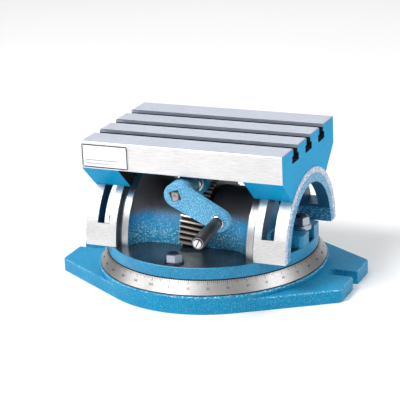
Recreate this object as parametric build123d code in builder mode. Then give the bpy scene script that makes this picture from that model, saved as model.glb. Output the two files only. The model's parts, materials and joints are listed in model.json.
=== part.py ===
"""Tilting and swivelling work table, 10 in x 7 in, for a milling or drilling machine.

A cast base with two slotted lugs carries a swivel casting that turns about Z over a degree
ring. The swivel casting has two half-round arches and a worm gear sector between them. The
T-slotted table rides on the arches, and its worm and crank tilt it about the arches' axis.

Millimetres. The origin is the centre of the base's underside, +Z is up, X runs along the
T-slots and the crank is on the -Y side.
"""

import os
from math import cos, pi, radians, sin, sqrt, tan

from build123d import *

os.makedirs("parts", exist_ok=True)

# ---- driving dimensions --------------------------------------------------------------------
RUN = 0.05              # running clearance between pieces that move on each other
SEAT_GAP = 0.02         # between pieces of one body that sit on the same cylinder
CAST_EDGE = 2           # rounding of the castings' outer edges

# base
BASE_R = 141            # round foot of the base
SHOULDER_Z = 22         # top of the foot, where the degree ring sits
SEAT_R = 128            # turned seat inside the degree ring
SEAT_Z = 38             # face the swivel casting turns on
LUG_X = 182             # lug end faces
LUG_W = 104
LUG_T = 16
LUG_SLOT_W = 18
LUG_SLOT_X = 156        # centre of the slot's round end
REGISTER_R, REGISTER_H = 50, 5                  # raised register that centres the swivel

# circular T-slot and the four lock studs
STUD_CIRCLE = 115.5
STUD_D = 12
RING_NECK_W, RING_NECK_H = 14, 6
RING_HEAD_W, RING_HEAD_H = 19, 8
T_HEAD_W, T_HEAD_H = 17, 7
NUT_AF, NUT_H, NUT_CROWN = 18, 10, 1.2
WASHER_R, WASHER_HOLE_R, WASHER_T = 12, 6.5, 2
PAD_WASHER_T = 5

# degree ring
RING_TOP_R, RING_FOOT_R, RING_FOOT_Z = 129.4, 139, 23

# swivel casting
TILT_Z = 53             # tilt axis, level with the top of the swivel's disc
DISC_R = 129
ARCH_R = 89
ARCH_T = 18
ARCH_IN, ARCH_OUT = 88, 128     # ground band of each arch along X
STRIP_IN, STRIP_R = 76, 81      # lower unmachined strip beside the band
DRUM_R = 58
COVE_X = 46             # where the drum starts to flare out to the strips
CORE_R, CORE_X = 46, 58         # hollow in the drum
CORE_HOLE_W = 68        # square opening from the hollow down to the base's register
PAD_W, PAD_H, PAD_CORNER = 60, 15, 5    # pads under the arches for the side studs
PAD_SLOT_W = 18
PAD_SLOT_X = 112
ARCH_SLOT_X, ARCH_SLOT_W = 105.25, 15.5
ARCH_SLOT_START = 18            # degrees above the disc at each end of the slot

# worm and worm gear sector
MODULE = 2
TEETH = 68              # teeth of the full wheel, half of them on the sector
PITCH = pi * MODULE
PITCH_R = MODULE * TEETH / 2
SECTOR_R_IN = 56
SECTOR_W = 30
SECTOR_LIFT = 4         # the sector's ends stop this far above the disc
WORM_R = 10             # worm pitch radius
WORM_Z = TILT_Z + PITCH_R + WORM_R
WORM_TURNS = 7
ADDENDUM, DEDENDUM = MODULE, 1.25 * MODULE
FLANK = tan(radians(20))
GAP_W = PITCH / 2 + 0.1         # tooth gap of the sector at the pitch line
THREAD_W = PITCH / 2 - 0.5      # worm thread at the pitch line
LEAD_ANGLE = 5.71
SHAFT_R = 8
SECTOR_SCREW_ANGLES = (25, 90, 155)
SCREW_R, SCREW_HEAD_R, SCREW_HEAD_H = 3, 5, 6
SCREW_GRIP = 6          # how far the screws enter the sector
SCREW_SEAT = 0.5        # the heads stop this much short of the hollow's wall

# table
TABLE_L, TABLE_W = 254, 178
TABLE_TOP = 183
BAND_H = 33
PLATE_T = 25
WALL_T = 12
SLOT_PITCH = 44.5
SLOT_NECK_W, SLOT_NECK_H = 14, 9
SLOT_HEAD_W, SLOT_HEAD_H = 22, 9
SADDLE_IN = 79          # inner faces of the two saddles that ride on the arches
SADDLE_HALF_W = 58      # where a saddle's flanks reach the arch
CLAMP_ANGLE = 21.5      # clamp bolts, degrees from the vertical
CLAMP_HEAD_AF, CLAMP_HEAD_H = 18, 7.5
CLAMP_DEPTH = 112       # how far from the tilt axis the clamp bolt holes reach

# worm housing under the table
FLANGE_T = 7
HOUSING_W = 60
BOSS_IN, BOSS_OUT = 38, 49
BOSS_R = 17.5
BUSH_R = 12.5

# crank
HUB_R = 14.5
HUB_BACK = 66
ARM_BACK, ARM_FRONT = 94, 104
ARM_LEN = 58.5
ARM_END_R = 13
ARM_ANGLE = -27         # degrees from +X, the arm as it stands
SQUARE, SQUARE_PLAY = 11.4, 0.5                 # shaft square, and the play round it in the arm
SPINDLE_R = 4
GRIP_LEAN = 4           # degrees that the grip leans outward
SPOT_R, SPOT_H = 9, 0.8                         # spot face that the grip's ferrule sits on
FERRULE_R, FERRULE_L = 8, 3.5
GRIP_R_IN, GRIP_R, GRIP_L = 7, 8, 63            # the grip widens from the arm to its end
GRIP_EDGE = 1
GRIP_HEAD_R, GRIP_HEAD_L = 4.7, 1.6

BAND_Z = TABLE_TOP - BAND_H
PLATE_Z = TABLE_TOP - PLATE_T
tilt_axis = Axis((0, 0, TILT_Z), (1, 0, 0))
tilt_plane = Plane.XY.offset(TILT_Z)


def save(part, name):
    """Label a finished piece and write it as a node."""
    part.label = name
    export_step(part, f"parts/{name}.step")


def radial_plane(x, angle, radius):
    """Plane facing outward from the tilt axis, at an angle above the +Y side of the disc."""
    y, z = cos(radians(angle)), sin(radians(angle))
    return Plane((x, radius * y, TILT_Z + radius * z), x_dir=(1, 0, 0), z_dir=(0, y, z))


# ---- base ------------------------------------------------------------------------------------
with BuildPart() as base_casting:
    with BuildSketch():
        Rectangle(2 * LUG_X, LUG_W)
        Circle(BASE_R)
        make_hull()
    extrude(amount=LUG_T)
    fillet(base_casting.edges().filter_by(Axis.Z), radius=7)
    fillet(base_casting.faces().sort_by(Axis.Z)[-1].edges(), radius=CAST_EDGE)
    with BuildSketch(Plane.XY):
        Circle(BASE_R)
    extrude(amount=SHOULDER_Z)
    fillet(base_casting.faces().sort_by(Axis.Z)[-1].edges(), radius=CAST_EDGE)
    with BuildSketch(Plane.XY.offset(SHOULDER_Z)):
        Circle(SEAT_R)
    extrude(amount=SEAT_Z - SHOULDER_Z)
    # open-ended slots for the machine table's bolts
    with BuildSketch(Plane.XY):
        for side in (1, -1):
            with Locations((side * LUG_SLOT_X, 0)):
                Circle(LUG_SLOT_W / 2)
            with Locations((side * (LUG_SLOT_X + LUG_X) / 2, 0)):
                Rectangle(LUG_X - LUG_SLOT_X, LUG_SLOT_W)
    extrude(amount=LUG_T, mode=Mode.SUBTRACT)
    # raised register and the circular T-slot round it
    with BuildSketch(Plane.XY.offset(SEAT_Z)):
        Circle(REGISTER_R)
    extrude(amount=REGISTER_H)
    with BuildSketch(Plane.XY.offset(SEAT_Z - RING_NECK_H)):
        Circle(STUD_CIRCLE + RING_NECK_W / 2)
        Circle(STUD_CIRCLE - RING_NECK_W / 2, mode=Mode.SUBTRACT)
    extrude(amount=RING_NECK_H, mode=Mode.SUBTRACT)
    with BuildSketch(Plane.XY.offset(SEAT_Z - RING_NECK_H - RING_HEAD_H)):
        Circle(STUD_CIRCLE + RING_HEAD_W / 2)
        Circle(STUD_CIRCLE - RING_HEAD_W / 2, mode=Mode.SUBTRACT)
    extrude(amount=RING_HEAD_H, mode=Mode.SUBTRACT)
save(base_casting.part, "base_casting")

with BuildPart() as degree_ring:
    with BuildSketch(Plane.XZ):
        with BuildLine():
            Polyline(
                (SEAT_R, SHOULDER_Z), (RING_FOOT_R, SHOULDER_Z), (RING_FOOT_R, RING_FOOT_Z),
                (RING_TOP_R, SEAT_Z), (SEAT_R, SEAT_Z), close=True,
            )
        make_face()
    revolve(axis=Axis.Z)
save(degree_ring.part, "degree_ring")

# ---- swivel casting ----------------------------------------------------------------------------
# one iron casting, written as its disc, its drum and its two arches, which meet face to face
with BuildPart() as swivel_disc:
    with BuildSketch(Plane.XY.offset(SEAT_Z + RUN)):
        Circle(DISC_R)
    extrude(amount=TILT_Z - SEAT_Z - RUN)
    chamfer(swivel_disc.faces().sort_by(Axis.Z)[-1].edges(), length=1)
    # pads inside the arches for the side studs
    with BuildSketch(tilt_plane) as pads:
        with Locations(((ARCH_IN + ARCH_OUT) / 2, 0), (-(ARCH_IN + ARCH_OUT) / 2, 0)):
            Rectangle(ARCH_OUT - ARCH_IN, PAD_W)
        fillet(pads.vertices().filter_by(lambda v: abs(v.X) > ARCH_IN + 1), radius=PAD_CORNER)
    extrude(amount=PAD_H)
    with BuildSketch(tilt_plane):
        for side in (1, -1):
            with Locations((side * PAD_SLOT_X, 0)):
                Circle(PAD_SLOT_W / 2)
            with Locations((side * (PAD_SLOT_X + ARCH_OUT) / 2, 0)):
                Rectangle(ARCH_OUT - PAD_SLOT_X, PAD_SLOT_W)
    extrude(amount=PAD_H, mode=Mode.SUBTRACT)
    # core opening into the drum, and the seat of the base's register under it
    with BuildSketch(Plane.XY.offset(SEAT_Z)):
        Rectangle(CORE_HOLE_W, CORE_HOLE_W)
    extrude(amount=TILT_Z - SEAT_Z, mode=Mode.SUBTRACT)
    with BuildSketch(Plane.XY.offset(SEAT_Z)):
        Circle(REGISTER_R + RUN)
    extrude(amount=REGISTER_H + 1, mode=Mode.SUBTRACT)
    # stud holes
    with BuildSketch(Plane.XY.offset(SEAT_Z)):
        with PolarLocations(STUD_CIRCLE, 4):
            Circle(WASHER_HOLE_R)
    extrude(amount=TILT_Z - SEAT_Z, mode=Mode.SUBTRACT)
    # zero mark cut in the disc's rim at the front
    with BuildSketch(Plane.XY.offset(SEAT_Z)):
        with Locations((0, -DISC_R)):
            Rectangle(0.6, 0.6)
    extrude(amount=TILT_Z - SEAT_Z - 3, mode=Mode.SUBTRACT)
save(swivel_disc.part, "swivel_disc")

with BuildPart() as swivel_drum:
    # drum, coves and strips in one half turn about the tilt axis
    with BuildSketch(tilt_plane):
        with BuildLine():
            drum = Polyline((0, 0), (0, DRUM_R), (COVE_X, DRUM_R))
            cove = TangentArc(drum @ 1, (STRIP_IN, STRIP_R), tangent=drum % 1)
            Polyline(cove @ 1, (ARCH_IN, STRIP_R), (ARCH_IN, 0), (0, 0))
        make_face()
        mirror(about=Plane.YZ)
    revolve(axis=tilt_axis, revolution_arc=180)
    # seat of the gear sector, and the hollow of the drum
    with BuildSketch(tilt_plane):
        with Locations((0, (SECTOR_R_IN + ARCH_R) / 2)):
            Rectangle(SECTOR_W, ARCH_R - SECTOR_R_IN)
        with Locations((0, CORE_R / 2)):
            Rectangle(2 * CORE_X, CORE_R)
    revolve(axis=tilt_axis, revolution_arc=180, mode=Mode.SUBTRACT)
    # holes for the gear sector's screws, with flats for their heads
    for angle in SECTOR_SCREW_ANGLES:
        with BuildSketch(radial_plane(0, angle, CORE_R - SCREW_SEAT)):
            Circle(SCREW_HEAD_R + 0.5)
        extrude(amount=SCREW_SEAT, mode=Mode.SUBTRACT)
        with BuildSketch(radial_plane(0, angle, CORE_R)):
            Circle(SCREW_R)
        extrude(amount=SECTOR_R_IN - CORE_R, mode=Mode.SUBTRACT)
save(swivel_drum.part, "swivel_drum")

for name, side in (("arch_right", 1), ("arch_left", -1)):
    with BuildPart() as arch:
        with BuildSketch(tilt_plane):
            with Locations((side * (ARCH_IN + ARCH_OUT) / 2, ARCH_R - ARCH_T / 2)):
                Rectangle(ARCH_OUT - ARCH_IN, ARCH_T)
        revolve(axis=tilt_axis, revolution_arc=180)
        # slot for the clamp bolts
        with BuildSketch(Plane(
            (0, 0, TILT_Z), x_dir=(1, 0, 0),
            z_dir=(0, -sin(radians(ARCH_SLOT_START)), cos(radians(ARCH_SLOT_START))),
        )):
            with Locations((side * ARCH_SLOT_X, ARCH_R - ARCH_T / 2)):
                Rectangle(ARCH_SLOT_W, ARCH_T + 4)
        revolve(axis=tilt_axis, revolution_arc=180 - 2 * ARCH_SLOT_START, mode=Mode.SUBTRACT)
    save(arch.part, name)

# one tooth gap: x is outward from the pitch line and the gap leans by the worm's lead angle
with BuildPart() as tooth_gap:
    with BuildSketch(Plane.XY.rotated((-LEAD_ANGLE, 0, 0))):
        with BuildLine():
            foot = GAP_W / 2 - DEDENDUM * FLANK
            mouth = GAP_W / 2 + 2 * ADDENDUM * FLANK
            Polyline(
                (-DEDENDUM, -foot), (2 * ADDENDUM, -mouth), (2 * ADDENDUM, mouth),
                (-DEDENDUM, foot), close=True,
            )
        make_face()
    extrude(amount=SECTOR_W, both=True)

sector_plane = Plane((0, 0, TILT_Z), x_dir=(0, 1, 0), z_dir=(1, 0, 0))
with BuildPart(sector_plane) as worm_gear_sector:
    with BuildSketch(sector_plane):
        Circle(PITCH_R + ADDENDUM)
        Circle(SECTOR_R_IN + SEAT_GAP, mode=Mode.SUBTRACT)
        with Locations((0, SECTOR_LIFT - ARCH_R)):
            Rectangle(2 * ARCH_R, 2 * ARCH_R, mode=Mode.SUBTRACT)
    extrude(amount=SECTOR_W / 2, both=True)
    with PolarLocations(PITCH_R, TEETH // 2, start_angle=90 / (TEETH / 2), angular_range=180):
        add(tooth_gap.part, mode=Mode.SUBTRACT)
    for angle in SECTOR_SCREW_ANGLES:
        with BuildSketch(radial_plane(0, angle, SECTOR_R_IN - 1)):
            Circle(SCREW_R)
        extrude(amount=SCREW_GRIP + 1, mode=Mode.SUBTRACT)
save(worm_gear_sector.part, "worm_gear_sector")

with BuildPart() as sector_screws:
    for angle in SECTOR_SCREW_ANGLES:
        with BuildSketch(radial_plane(0, angle, CORE_R - SCREW_HEAD_H)):
            Circle(SCREW_HEAD_R)
            RegularPolygon(2.5, 6, major_radius=False, mode=Mode.SUBTRACT)
        extrude(amount=SCREW_HEAD_H)
        with BuildSketch(radial_plane(0, angle, CORE_R - SCREW_HEAD_H / 2)):
            Circle(SCREW_HEAD_R)
        extrude(amount=SCREW_HEAD_H / 2 - SCREW_SEAT)
        with BuildSketch(radial_plane(0, angle, CORE_R - SCREW_HEAD_H / 2)):
            Circle(SCREW_R - SEAT_GAP)
        extrude(amount=SECTOR_R_IN + SCREW_GRIP - CORE_R + SCREW_HEAD_H / 2)
save(sector_screws.part, "sector_screws")

# ---- lock studs, washers and nuts -------------------------------------------------------------
STUD_TOP = {"disc": TILT_Z + WASHER_T + NUT_H, "pad": TILT_Z + PAD_H + PAD_WASHER_T + NUT_H + 2}
T_HEAD_TOP = SEAT_Z - RING_NECK_H - RUN

with BuildPart() as lock_studs:
    with BuildSketch(Plane.XY.offset(T_HEAD_TOP - T_HEAD_H)):
        with PolarLocations(STUD_CIRCLE, 4):
            Rectangle(T_HEAD_W, T_HEAD_W)
    extrude(amount=T_HEAD_H)
    with BuildSketch(Plane.XY.offset(T_HEAD_TOP)):
        with Locations((STUD_CIRCLE, 0), (-STUD_CIRCLE, 0)):
            Circle(STUD_D / 2)
    extrude(amount=STUD_TOP["pad"] - T_HEAD_TOP)
    with BuildSketch(Plane.XY.offset(T_HEAD_TOP)):
        with Locations((0, STUD_CIRCLE), (0, -STUD_CIRCLE)):
            Circle(STUD_D / 2)
    extrude(amount=STUD_TOP["disc"] - T_HEAD_TOP)
    chamfer(lock_studs.faces().filter_by(Axis.Z).filter_by(lambda f: f.center().Z > TILT_Z).edges(), 1)
save(lock_studs.part, "lock_studs")

with BuildPart() as lock_washers:
    with BuildSketch(tilt_plane):
        with Locations((0, STUD_CIRCLE), (0, -STUD_CIRCLE)):
            Circle(WASHER_R)
            Circle(WASHER_HOLE_R, mode=Mode.SUBTRACT)
    extrude(amount=WASHER_T)
save(lock_washers.part, "lock_washers")

with BuildPart() as pad_washers:
    with BuildSketch(Plane.XY.offset(TILT_Z + PAD_H)):
        with Locations((STUD_CIRCLE, 0), (-STUD_CIRCLE, 0)):
            Circle(WASHER_R)
            Circle(WASHER_HOLE_R, mode=Mode.SUBTRACT)
    extrude(amount=PAD_WASHER_T)
save(pad_washers.part, "pad_washers")

nut_places = {
    "front": (0, -STUD_CIRCLE, TILT_Z + WASHER_T),
    "back": (0, STUD_CIRCLE, TILT_Z + WASHER_T),
    "right": (STUD_CIRCLE, 0, TILT_Z + PAD_H + PAD_WASHER_T),
    "left": (-STUD_CIRCLE, 0, TILT_Z + PAD_H + PAD_WASHER_T),
}
for side, place in nut_places.items():
    with BuildPart() as lock_nut:
        with BuildSketch(Plane(place).offset(RUN / 2)):
            RegularPolygon(NUT_AF / 2, 6, major_radius=False)
            Circle(STUD_D / 2 + RUN, mode=Mode.SUBTRACT)
        extrude(amount=NUT_H - RUN)
        # both ends of the hexagon are turned to a cone
        with BuildSketch(Plane(place, x_dir=(1, 0, 0), z_dir=(0, -1, 0))):
            with BuildLine():
                Polyline(
                    (0, 0), (NUT_AF / 2, 0), (NUT_AF * 0.6, NUT_CROWN), (NUT_AF * 0.6, NUT_H - NUT_CROWN),
                    (NUT_AF / 2, NUT_H), (0, NUT_H), close=True,
                )
            make_face()
        revolve(axis=Axis(place, (0, 0, 1)), mode=Mode.INTERSECT)
    save(lock_nut.part, f"lock_nut_{side}")

# ---- table -----------------------------------------------------------------------------------
with BuildPart() as table_casting:
    with BuildSketch(Plane.XY.offset(BAND_Z)):
        Rectangle(TABLE_L, TABLE_W)
    extrude(amount=BAND_H)
    chamfer(table_casting.faces().sort_by(Axis.Z)[-1].edges(), length=0.8)
    # the saddles taper down from the band to the arches
    for start in (SADDLE_IN, -TABLE_L / 2):
        with BuildSketch(Plane.YZ.offset(start)):
            with BuildLine():
                saddle_foot = TILT_Z + sqrt(ARCH_R**2 - SADDLE_HALF_W**2)
                lean = (BAND_Z - saddle_foot) / (TABLE_W / 2 - SADDLE_HALF_W)
                low_y = SADDLE_HALF_W - 3
                low_z = saddle_foot - 3 * lean
                Polyline(
                    (-TABLE_W / 2, BAND_Z), (-low_y, low_z), (low_y, low_z), (TABLE_W / 2, BAND_Z),
                    close=True,
                )
            make_face()
        extrude(amount=TABLE_L / 2 - SADDLE_IN)
    with BuildSketch(Plane.YZ):
        with Locations((0, TILT_Z)):
            Circle(ARCH_R + RUN)
    extrude(amount=TABLE_L / 2, both=True, mode=Mode.SUBTRACT)
    # recess between the saddles
    with BuildSketch(Plane.XY.offset(BAND_Z)):
        Rectangle(2 * SADDLE_IN, TABLE_W - 2 * WALL_T)
    extrude(amount=BAND_H - PLATE_T, mode=Mode.SUBTRACT)
    # T-slots
    with BuildSketch(Plane.YZ):
        with Locations([(y, TABLE_TOP - SLOT_NECK_H / 2) for y in (-SLOT_PITCH, 0, SLOT_PITCH)]):
            Rectangle(SLOT_NECK_W, SLOT_NECK_H)
        with Locations([(y, TABLE_TOP - SLOT_NECK_H - SLOT_HEAD_H / 2)
                        for y in (-SLOT_PITCH, 0, SLOT_PITCH)]):
            Rectangle(SLOT_HEAD_W, SLOT_HEAD_H)
        with Locations([(y, TABLE_TOP) for y in (-SLOT_PITCH, 0, SLOT_PITCH)]):
            Trapezoid(SLOT_NECK_W + 4, 2, 45)
    extrude(amount=TABLE_L / 2, both=True, mode=Mode.SUBTRACT)
    # clamp bolt holes, pointing at the tilt axis
    for x in (ARCH_SLOT_X, -ARCH_SLOT_X):
        for angle in (90 - CLAMP_ANGLE, 90 + CLAMP_ANGLE):
            with BuildSketch(radial_plane(x, angle, ARCH_R - ARCH_T)):
                Circle(STUD_D / 2 + RUN)
            extrude(amount=CLAMP_DEPTH - ARCH_R + ARCH_T, mode=Mode.SUBTRACT)
save(table_casting.part, "table_casting")

PLATE_X, PLATE_MID_Z, PLATE_LONG, PLATE_HIGH = -95.5, 166, 60, 29
with BuildPart() as name_plate:
    with BuildSketch(Plane.XZ.offset(TABLE_W / 2)):
        with Locations((PLATE_X, PLATE_MID_Z)):
            RectangleRounded(PLATE_LONG, PLATE_HIGH, 1.5)
    extrude(amount=0.8)
save(name_plate.part, "name_plate")

with BuildPart() as plate_rivets:
    with BuildSketch(Plane.XZ.offset(TABLE_W / 2 + 0.8)):
        with Locations((PLATE_X, PLATE_MID_Z)):
            with GridLocations(PLATE_LONG - 5, PLATE_HIGH - 5, 2, 2):
                Circle(1.2)
    extrude(amount=0.5)
save(plate_rivets.part, "plate_rivets")

with BuildPart() as oil_nipple:
    with BuildSketch(Plane.XY.offset(BAND_Z)):
        with Locations((-10, -TABLE_W / 2 + WALL_T / 2)):
            Circle(3)
    extrude(amount=-1.5)
    fillet(oil_nipple.faces().sort_by(Axis.Z)[0].edges(), radius=0.8)
save(oil_nipple.part, "oil_nipple")

# ---- tilt clamp bolts and their washers --------------------------------------------------------
clamp_places = {
    "front_right": (ARCH_SLOT_X, 90 + CLAMP_ANGLE), "back_right": (ARCH_SLOT_X, 90 - CLAMP_ANGLE),
    "front_left": (-ARCH_SLOT_X, 90 + CLAMP_ANGLE), "back_left": (-ARCH_SLOT_X, 90 - CLAMP_ANGLE),
}
# a flat washer touches the arch's hollow face along its two sides
CLAMP_SEAT_R = sqrt((ARCH_R - ARCH_T)**2 - WASHER_R**2) - RUN

with BuildPart() as clamp_washers:
    for x, angle in clamp_places.values():
        with BuildSketch(radial_plane(x, angle, CLAMP_SEAT_R)):
            Circle(WASHER_R)
            Circle(WASHER_HOLE_R, mode=Mode.SUBTRACT)
        extrude(amount=-WASHER_T)
save(clamp_washers.part, "clamp_washers")

for corner, (x, angle) in clamp_places.items():
    with BuildPart() as clamp_bolt:
        with BuildSketch(radial_plane(x, angle, CLAMP_SEAT_R - WASHER_T - RUN / 2)):
            RegularPolygon(CLAMP_HEAD_AF / 2, 6, major_radius=False)
        extrude(amount=-CLAMP_HEAD_H)
        with BuildSketch(radial_plane(x, angle, CLAMP_SEAT_R - WASHER_T - RUN / 2)):
            Circle(STUD_D / 2)
        extrude(amount=CLAMP_DEPTH - 2 - CLAMP_SEAT_R)
    save(clamp_bolt.part, f"clamp_bolt_{corner}")

# ---- worm housing under the table --------------------------------------------------------------
with BuildPart() as worm_housing:
    with BuildSketch(Plane.XY.offset(PLATE_Z)):
        RectangleRounded(HOUSING_W, 2 * BOSS_OUT, 5)
    extrude(amount=-FLANGE_T)
    for start in (BOSS_IN, -BOSS_OUT):
        with BuildSketch(Plane.XZ.offset(-start)):
            with Locations((0, WORM_Z)):
                Circle(BOSS_R)
            with Locations((0, (WORM_Z + PLATE_Z) / 2)):
                Rectangle(2 * BOSS_R, PLATE_Z - WORM_Z)
            with Locations((0, WORM_Z)):
                Circle(BUSH_R, mode=Mode.SUBTRACT)
        extrude(amount=-(BOSS_OUT - BOSS_IN))
save(worm_housing.part, "worm_housing")

with BuildPart() as housing_screws:
    with BuildSketch(Plane.XY.offset(PLATE_Z - FLANGE_T)):
        with GridLocations(HOUSING_W - 14, 52, 2, 2):
            Circle(5)
            RegularPolygon(2.5, 6, major_radius=False, mode=Mode.SUBTRACT)
    extrude(amount=-6)
    with BuildSketch(Plane.XY.offset(PLATE_Z - FLANGE_T)):
        with GridLocations(HOUSING_W - 14, 52, 2, 2):
            Circle(5)
    extrude(amount=-3)
save(housing_screws.part, "housing_screws")

with BuildPart() as worm_bushes:
    for start in (BOSS_IN, -BOSS_OUT):
        with BuildSketch(Plane.XZ.offset(-start)):
            with Locations((0, WORM_Z)):
                Circle(BUSH_R)
                Circle(SHAFT_R + RUN, mode=Mode.SUBTRACT)
        extrude(amount=-(BOSS_OUT - BOSS_IN))
save(worm_bushes.part, "worm_bushes")

# ---- worm, shaft and collars -------------------------------------------------------------------
# local x points down at the gear and local z runs along +Y; the thread is right-handed
worm_plane = Plane((0, -WORM_TURNS * PITCH / 2, WORM_Z), x_dir=(0, 0, -1), z_dir=(0, 1, 0))
arm_dir = (cos(radians(ARM_ANGLE)), 0, sin(radians(ARM_ANGLE)))
COLLAR_R, COLLAR_T, PIN_R = 11.5, 8, 1.5

with BuildPart() as worm_thread:
    with BuildLine():
        helix = Helix(PITCH, WORM_TURNS * PITCH, WORM_R)
    with BuildSketch(Plane(helix @ 0, x_dir=(1, 0, 0), z_dir=helix % 0)):
        with BuildLine():
            root = THREAD_W / 2 + (DEDENDUM + 0.3) * FLANK
            tip = THREAD_W / 2 - ADDENDUM * FLANK
            Polyline(
                (-DEDENDUM - 0.3, -root), (ADDENDUM, -tip), (ADDENDUM, tip),
                (-DEDENDUM - 0.3, root), close=True,
            )
        make_face()
    sweep(path=helix, is_frenet=True)

with BuildPart() as worm_shaft:
    with BuildSketch(Plane.XZ.offset(-BOSS_OUT - COLLAR_T)):
        with Locations((0, WORM_Z)):
            Circle(WORM_R - DEDENDUM)
    extrude(amount=2 * (BOSS_OUT + COLLAR_T))
    for start, end in ((BOSS_IN - 10, BOSS_OUT + COLLAR_T + 2), (-HUB_BACK, -BOSS_IN + 10)):
        with BuildSketch(Plane.XZ.offset(-start)):
            with Locations((0, WORM_Z)):
                Circle(SHAFT_R)
        extrude(amount=-(end - start))
    with BuildSketch(Plane((0, -HUB_BACK, WORM_Z), x_dir=arm_dir, z_dir=(0, -1, 0))):
        Rectangle(SQUARE, SQUARE, rotation=45)
    extrude(amount=ARM_FRONT - HUB_BACK)
    add(worm_plane * worm_thread.part)
    # cross holes for the collar pins
    with BuildSketch(Plane.XY.offset(WORM_Z)):
        with Locations((0, BOSS_OUT + RUN + COLLAR_T / 2), (0, -BOSS_OUT - RUN - COLLAR_T / 2)):
            Circle(PIN_R)
    extrude(amount=SHAFT_R, both=True, mode=Mode.SUBTRACT)
    # centre-drilled end
    with BuildSketch(Plane((0, -ARM_FRONT, WORM_Z), z_dir=(0, -1, 0))):
        Circle(2.2)
    extrude(amount=-3, taper=20, mode=Mode.SUBTRACT)
save(worm_shaft.part, "worm_shaft")

for name, start in (("thrust_collar_rear", BOSS_OUT + RUN), ("thrust_collar_front", -BOSS_OUT - RUN - COLLAR_T)):
    with BuildPart() as collar:
        with BuildSketch(Plane.XZ.offset(-start)):
            with Locations((0, WORM_Z)):
                Circle(COLLAR_R)
                Circle(SHAFT_R + SEAT_GAP, mode=Mode.SUBTRACT)
        extrude(amount=-COLLAR_T)
        chamfer(collar.edges().filter_by(GeomType.CIRCLE).filter_by(lambda e: e.radius > SHAFT_R + 1), 0.8)
        with BuildSketch(Plane.XY.offset(WORM_Z)):
            with Locations((0, start + COLLAR_T / 2)):
                Circle(PIN_R)
        extrude(amount=COLLAR_R, both=True, mode=Mode.SUBTRACT)
    save(collar.part, name)

# one pin through each collar and the shaft, for both
with BuildPart() as collar_pins:
    for middle in (BOSS_OUT + RUN + COLLAR_T / 2, -BOSS_OUT - RUN - COLLAR_T / 2):
        with BuildSketch(Plane.XY.offset(WORM_Z)):
            with Locations((0, middle)):
                Circle(PIN_R)
        extrude(amount=COLLAR_R + 0.3, both=True)
save(collar_pins.part, "collar_pins")

# ---- crank -------------------------------------------------------------------------------------
hub_plane = Plane((0, -HUB_BACK, WORM_Z), x_dir=arm_dir, z_dir=(0, -1, 0))
lean_out, lean_on = sin(radians(GRIP_LEAN)), cos(radians(GRIP_LEAN))
grip_axis = (lean_out * arm_dir[0], -lean_on, lean_out * arm_dir[2])


def grip_plane(along):
    """Plane across the grip's axis, at a distance out from the arm's front face."""
    foot = (ARM_LEN * arm_dir[0], -ARM_FRONT, WORM_Z + ARM_LEN * arm_dir[2])
    place = tuple(start + along * step for start, step in zip(foot, grip_axis))
    return Plane(place, x_dir=Vector(arm_dir).cross(Vector(grip_axis)), z_dir=grip_axis)


with BuildPart() as crank_arm:
    with BuildSketch(hub_plane):
        Circle(HUB_R)
    extrude(amount=ARM_BACK - HUB_BACK)
    with BuildSketch(hub_plane.offset(ARM_BACK - HUB_BACK)):
        Circle(HUB_R)
        with Locations((ARM_LEN, 0)):
            Circle(ARM_END_R)
        make_hull()
    extrude(amount=ARM_FRONT - ARM_BACK)
    fillet(crank_arm.faces().sort_by(Axis.Y)[0].edges(), radius=1.2)
    with BuildSketch(grip_plane(-2)):
        Circle(SPOT_R)
    extrude(amount=2 + SPOT_H)
    with BuildSketch(hub_plane):
        Rectangle(SQUARE + 2 * SQUARE_PLAY, SQUARE + 2 * SQUARE_PLAY, rotation=45)
    extrude(amount=ARM_FRONT - HUB_BACK, mode=Mode.SUBTRACT)
    with BuildSketch(grip_plane(-ARM_FRONT + ARM_BACK - 2)):
        Circle(SPINDLE_R)
    extrude(amount=ARM_FRONT - ARM_BACK + 2 + SPOT_H, mode=Mode.SUBTRACT)
save(crank_arm.part, "crank_arm")

ferrule_start = SPOT_H + RUN
grip_start = ferrule_start + FERRULE_L + RUN
grip_end = grip_start + GRIP_L

with BuildPart() as handle_spindle:
    with BuildSketch(grip_plane(ARM_BACK - ARM_FRONT + 1)):
        Circle(SPINDLE_R - SEAT_GAP)
    extrude(amount=ARM_FRONT - ARM_BACK - 1 + grip_end + RUN)
save(handle_spindle.part, "handle_spindle")

with BuildPart() as spindle_collar:
    with BuildSketch(grip_plane(ferrule_start)):
        Circle(FERRULE_R)
    extrude(amount=FERRULE_L)
    chamfer(spindle_collar.edges().filter_by(GeomType.CIRCLE), length=0.6)
    with BuildSketch(grip_plane(ferrule_start)):
        Circle(SPINDLE_R)
    extrude(amount=FERRULE_L, mode=Mode.SUBTRACT)
save(spindle_collar.part, "spindle_collar")

with BuildPart() as grip:
    with BuildSketch(grip_plane(grip_start)):
        Circle(GRIP_R_IN)
    with BuildSketch(grip_plane(grip_end)):
        Circle(GRIP_R)
    loft()
    fillet(grip.edges().filter_by(GeomType.CIRCLE), radius=GRIP_EDGE)
    with BuildSketch(grip_plane(grip_start)):
        Circle(SPINDLE_R + RUN)
    extrude(amount=GRIP_L, mode=Mode.SUBTRACT)
save(grip.part, "grip")

# slotted screw that holds the grip on
with BuildPart() as grip_screw:
    with BuildSketch(grip_plane(grip_end + RUN)):
        Circle(GRIP_HEAD_R)
    extrude(amount=GRIP_HEAD_L)
    with BuildSketch(grip_plane(grip_end + RUN + GRIP_HEAD_L - 1)):
        Rectangle(2 * GRIP_HEAD_R, 1.2)
    extrude(amount=1, mode=Mode.SUBTRACT)
save(grip_screw.part, "grip_screw")
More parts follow.
